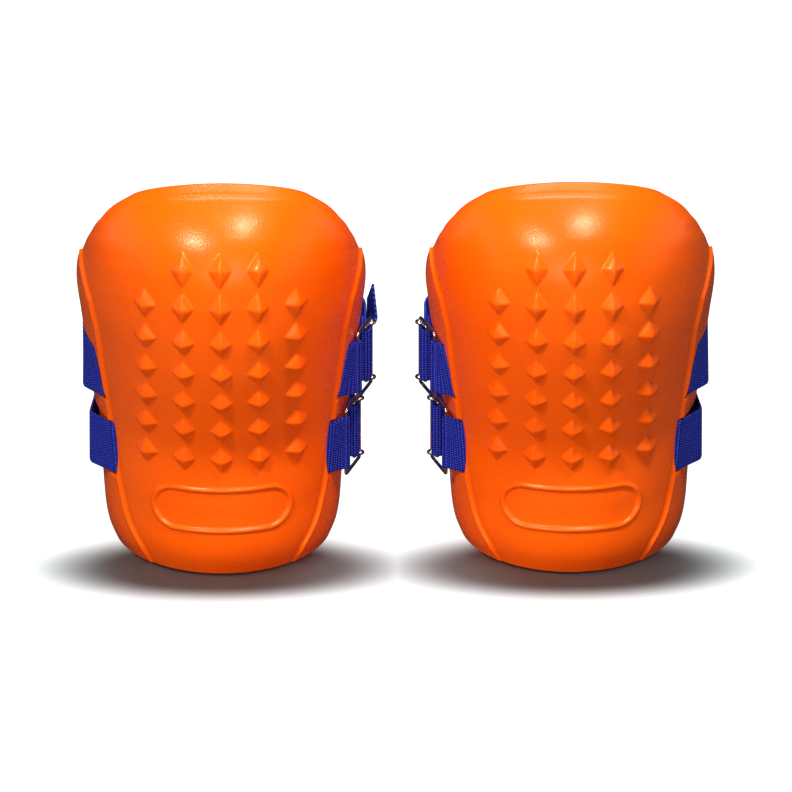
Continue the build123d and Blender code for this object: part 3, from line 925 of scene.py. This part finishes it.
# --- materials ----------------------------------------------------------------
class Graph:
    """The nodes of a material or of the world, with short ways to add and link them."""

    def __init__(self, owner):
        owner.use_nodes = True
        self.nodes, self.links = owner.node_tree.nodes, owner.node_tree.links

    def feed(self, node, inputs):
        """Links or sets each named or numbered input of a node."""
        for key, value in inputs.items():
            if isinstance(value, bpy.types.NodeSocket):
                self.links.new(value, node.inputs[key])
            else:
                node.inputs[key].default_value = value

    def add(self, kind, inputs):
        node = self.nodes.new("ShaderNode" + kind)
        self.feed(node, inputs)
        return node

    def coordinates(self, kind):
        return self.add("TexCoord", {}).outputs[kind]

    def split(self, vector):
        return self.add("SeparateXYZ", {0: vector}).outputs

    def noise(self, scale, detail):
        inputs = {"Vector": self.coordinates("Object"), "Scale": scale, "Detail": detail}
        return self.add("TexNoise", inputs).outputs["Fac"]

    def ramp(self, factor, dark, light, low=0.3, high=0.7):
        node = self.add("ValToRGB", {"Fac": factor})
        for stop, position, colour in zip(node.color_ramp.elements, (low, high), (dark, light)):
            stop.position = position
            stop.color = (*colour, 1)
        return node.outputs["Color"]

    def bump(self, height, distance, strength, **normal):
        inputs = {"Height": height, "Distance": distance, "Strength": strength, **normal}
        return self.add("Bump", inputs).outputs["Normal"]

    def math(self, operation, first, second=0):
        node = self.add("Math", {0: first, 1: second})
        node.operation = operation
        return node.outputs[0]

    def fade(self, value, low, high, strength=1.0):
        inputs = {"Value": value, "From Min": low, "From Max": high, "To Max": strength}
        return self.add("MapRange", inputs)

    def emission(self, strength):
        return self.add("Emission", {"Strength": strength}).outputs["Emission"]

    def mix(self, factor, first, second):
        return self.add("MixShader", {"Fac": factor, 1: first, 2: second}).outputs["Shader"]


def new_material(name):
    material = bpy.data.materials.new(name)
    graph = Graph(material)
    return material, graph, graph.nodes["Principled BSDF"]


def moulded_material():
    material, graph, shader = new_material("moulded_orange")
    grain = graph.noise(950, 2)
    waves = graph.bump(graph.noise(60, 2), 0.0006, 0.10)
    graph.feed(shader, {
        "Base Color": graph.ramp(graph.noise(16, 4), (0.85, 0.088, 0.0006), (0.93, 0.106, 0.0010)),
        "Normal": graph.bump(grain, 0.00030, 0.40, Normal=waves),
        "Roughness": graph.ramp(grain, (0.20,) * 3, (0.33,) * 3),
        "Specular IOR Level": 0.30,
        "Specular Tint": (1.0, 0.78, 0.50, 1),
    })
    return material


def foam_material():
    material, graph, shader = new_material("foam_lining")
    cells = graph.noise(900, 3)
    graph.feed(shader, {
        "Base Color": graph.ramp(cells, (0.46, 0.055, 0.003), (0.60, 0.085, 0.006)),
        "Normal": graph.bump(cells, 0.0005, 0.6),
        "Roughness": 0.85,
        "Specular IOR Level": 0.2,
    })
    return material


def yarn_height(graph):
    """Slanting ticks up every rib of the elastic, low between the ribs, with some fuzz."""
    uv = graph.add("UVMap", {})
    uv.uv_map = "along_across"
    along, across, _ = graph.split(uv.outputs["UV"])
    wave = graph.math("SINE", graph.math("MULTIPLY", along, math.pi * 1000 / RIB_PITCH))
    rib = graph.math("POWER", graph.math("ABSOLUTE", wave), 1.3)
    up = graph.math("MULTIPLY", across, 2 * math.pi * 1000 / TICK_PITCH)
    slant = graph.math("MULTIPLY", wave, 2.4)
    tick = graph.math("SINE", graph.math("ADD", up, slant))
    tick = graph.math("ADD", graph.math("MULTIPLY", tick, 0.55), 0.48)
    fuzz = graph.math("SUBTRACT", graph.noise(2600, 2), 0.5)
    return graph.math("ADD", graph.math("MULTIPLY", rib, tick), graph.math("MULTIPLY", fuzz, 0.4))


def webbing_material():
    """Blue yarn. The dark lines between the ribs are painted shade and the light ticks on the ribs are
    painted highlights, both taken from the yarn's height, which also bumps the surface.
    """
    material, graph, shader = new_material("blue_elastic")
    rib_height_and_shade = yarn_height(graph)
    # The colour follows the yarn's height: painted shade in the grooves between the ribs, painted
    # highlights on the raised ticks.
    graph.feed(shader, {
        "Base Color": graph.ramp(rib_height_and_shade, (0.001, 0.0025, 0.070), (0.055, 0.085, 0.88), 0.08, 0.88),
        "Normal": graph.bump(rib_height_and_shade, 0.0005, 0.9),
        "Roughness": 0.55,
        "Specular IOR Level": 0.25,
        "Specular Tint": (0.5, 0.6, 1.0, 1),
    })
    return material


def thread_material():
    material, graph, shader = new_material("blue_thread")
    fibres = graph.noise(4000, 2)
    graph.feed(shader, {
        "Base Color": graph.ramp(fibres, (0.010, 0.018, 0.22), (0.045, 0.070, 0.62)),
        "Normal": graph.bump(fibres, 0.0001, 0.5),
        "Roughness": 0.5,
        "Specular IOR Level": 0.3,
    })
    return material


def chrome_material():
    material, graph, shader = new_material("chromed_wire")
    wear = graph.noise(350, 4)
    graph.feed(shader, {
        "Base Color": graph.ramp(wear, (0.50, 0.47, 0.43), (0.78, 0.76, 0.73)),
        "Roughness": graph.ramp(wear, (0.26,) * 3, (0.13,) * 3),
        "Normal": graph.bump(wear, 0.0002, 0.12),
        "Metallic": 1.0,
    })
    return material


# --- stage --------------------------------------------------------------------
def build_world():
    """White to the camera. Reflections see a dark room with bright panels at both
    sides and overhead; everything else gets an even fill."""
    world = bpy.data.worlds.new("studio")
    bpy.context.scene.world = world
    graph = Graph(world)
    white = {"Color": (1, 1, 1, 1)}
    fill = graph.nodes["Background"]
    graph.feed(fill, {**white, "Strength": 0.18})
    towards = graph.split(graph.coordinates("Generated"))
    at_sides = graph.fade(graph.math("ABSOLUTE", towards[0]), 0.80, 0.90, 1.1)
    overhead = graph.fade(towards[2], 0.86, 0.96, 0.7)
    panels = graph.math("ADD", at_sides.outputs["Result"], overhead.outputs["Result"])
    room = graph.add("Background", {**white, "Strength": graph.math("ADD", panels, 0.03)})
    backdrop = graph.add("Background", white)
    rays = graph.add("LightPath", {}).outputs
    fill, room, backdrop = [node.outputs["Background"] for node in (fill, room, backdrop)]
    shader = graph.mix(rays["Is Camera Ray"], graph.mix(rays["Is Glossy Ray"], fill, room), backdrop)
    graph.feed(graph.nodes["World Output"], {"Surface": shader})


def floor_material():
    """Away from the pads' feet the floor glows white to the camera alone, and reflections see it dark
    grey. In an ellipse round each pad's feet the camera sees no glow and a darker, cool-tinted floor.
    That is painted shadow over the real shadow of the lamp overhead, and the cool tint offsets the
    pads' orange bounce."""
    material, graph, shader = new_material("floor_white_with_painted_shadow")
    rays = graph.add("LightPath", {}).outputs
    camera = rays["Is Camera Ray"]
    # To the camera the floor's own colour is dark and cool. Round the pads' feet, where no glow covers
    # it, this is painted shadow, and the cool tint offsets the pads' orange bounce.
    graph.feed(shader, {
        "Base Color": graph.ramp(camera, (0.80, 0.80, 0.80), (0.31, 0.43, 0.45)),
        "Roughness": 0.9,
        "Specular IOR Level": 0.0,
    })
    # Ellipse round each pad's feet: inside it the glow fades out, leaving the painted shadow.
    x, y, _ = graph.split(graph.coordinates("Object"))
    from_pad = graph.math("SUBTRACT", graph.math("ABSOLUTE", x), PAD_X / 1000)
    from_middle = graph.math("SUBTRACT", y, SHADOW_Y)
    squares = [graph.math("POWER", graph.math("DIVIDE", value, reach), 2)
               for value, reach in zip((from_pad, from_middle), SHADOW_REACH)]
    far = graph.fade(graph.math("ADD", *squares), 0.4, 1.5)
    far.interpolation_type = "SMOOTHSTEP"
    glow = graph.emission(graph.math("MULTIPLY", far.outputs["Result"], camera))
    lit = graph.add("AddShader", {0: shader.outputs["BSDF"], 1: glow}).outputs["Shader"]
    surface_seen = graph.mix(rays["Is Glossy Ray"], lit, graph.emission(0.05))
    graph.feed(graph.nodes["Material Output"], {"Surface": surface_seen})
    return material


def build_floor():
    bm = bmesh.new()
    bmesh.ops.create_grid(bm, x_segments=2, y_segments=2, size=3.0)
    mesh = bpy.data.meshes.new("floor")
    bm.to_mesh(mesh)
    bm.free()
    mesh.materials.append(floor_material())
    floor = new_object("floor", mesh)
    return floor


def point_back(obj, back):
    """Turns a lamp or camera so that it looks away from the direction called back."""
    obj.rotation_mode = "QUATERNION"
    obj.rotation_quaternion = (-back).to_track_quat("-Z", "Y")


def area_light(name, stands, aim_z, size, power):
    """Rectangular lamp aimed at a height above the frame's origin."""
    data = bpy.data.lights.new(name, "AREA")
    data.shape = "RECTANGLE"
    data.size, data.size_y = size
    data.energy = power
    lamp = new_object(name, data)
    lamp.location = stands
    point_back(lamp, Vector(stands) - Vector((0, 0, aim_z)))
    return lamp


def build_lights(floor):
    """Only the lamp overhead lights the floor, so the shadow falls beneath the pads."""
    unlit = bpy.data.collections.new("unlit_by_keys")
    unlit.objects.link(floor)
    unlit.collection_objects[0].light_linking.link_state = "EXCLUDE"
    at_front = [
        area_light("key_left", (-0.60, -0.90, 1.20), 0.12, (0.17, 0.17), 18),
        area_light("key_right", (0.30, -0.62, 1.50), 0.12, (0.17, 0.17), 18),
        area_light("front_fill", (0.0, -1.25, 0.45), 0.12, (0.8, 0.5), 6),
    ]
    for lamp in at_front:
        lamp.light_linking.receiver_collection = unlit
    area_light("back", (0.0, 0.40, 1.45), 0.05, (0.9, 0.5), 14)


def build_camera():
    data = bpy.data.cameras.new("camera")
    data.lens = CAMERA_LENS
    data.clip_end = CAMERA_CLIP_END
    camera = new_object("camera", data)
    bpy.context.scene.camera = camera
    a, e = math.radians(CAMERA_AZIMUTH), math.radians(CAMERA_ELEVATION)
    back = Vector((math.sin(a) * math.cos(e), -math.cos(a) * math.cos(e), math.sin(e)))
    distance = VIEW_WIDTH * data.lens / data.sensor_width
    camera.location = Vector(VIEW_CENTRE) + back * distance
    point_back(camera, back)


# --- the pair -----------------------------------------------------------------
def build_pad(pad, side, materials):
    shell = mesh_object(f"{pad}_shell_moulding", *shell_mesh(), side)
    weld(shell)
    shell.data.materials.append(materials["moulded_shell"])
    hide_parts(f"{pad}_shell")
    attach(shell, "pads")

    lining = mesh_object(f"{pad}_foam_lining", *cushion_mesh(), side)
    weld(lining)
    lining.data.materials.append(materials["foam"])
    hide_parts(f"{pad}_knee_cushion")
    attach(lining, "pads")

    for level in LEVELS:
        build_strap(pad, level, side, materials)
        build_buckle(pad, level, side, materials)


def build_strap(pad, level, side, materials):
    """A strap with its stitches, and its free end where it is turned up."""
    name = f"{pad}_{level}"
    path = strap_path(level, STRAP_STEP)
    strap = webbing_object(f"{name}_strap_elastic", path, level, side,
                           materials["elastic_webbing"], strap_lean(path, level))
    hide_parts(f"{name}_strap")
    stitches = mesh_object(f"{name}_strap_stitches", *stitch_mesh(level), side)
    weld(stitches)
    stitches.data.materials.append(materials["thread"])
    pieces = [strap, stitches]
    if (pad, level) == TURNED_UP_TAIL:
        points, faces, uvs = tail_mesh(level)
        tail = mesh_object(f"{name}_strap_tail", points, faces, side, uvs)
        weld(tail)
        tail.data.materials.append(materials["elastic_webbing"])
        pieces.append(tail)
    for piece in pieces:
        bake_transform(piece)


def build_buckle(pad, level, side, materials):
    """The short tab with its ring, and the hook that turns on the ring."""
    name = f"{pad}_{level}"
    path = tab_path(level, STRAP_STEP)
    tab = webbing_object(f"{name}_tab_elastic", path, level, side,
                         materials["elastic_webbing"], tab_lean(path, level))
    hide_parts(f"{name}_ring_tab")
    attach(tab, "pads")
    chrome = materials["chromed_wire"]
    for part, wire, closed in (("ring", ring_path, True), ("hook", hook_path, False)):
        obj = wire_object(f"{name}_{part}_wire", wire(level), closed, side, chrome)
        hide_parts(f"{name}_{part}")
        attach(obj, f"{name}_{part}")


bpy.context.scene.view_settings.view_transform = "Standard"
MATERIALS = {
    "moulded_shell": moulded_material(),
    "foam": foam_material(),
    "elastic_webbing": webbing_material(),
    "thread": thread_material(),
    "chromed_wire": chrome_material(),
}
for pad, side in SIDES.items():
    build_pad(pad, side, MATERIALS)
build_world()
build_lights(build_floor())
build_camera()
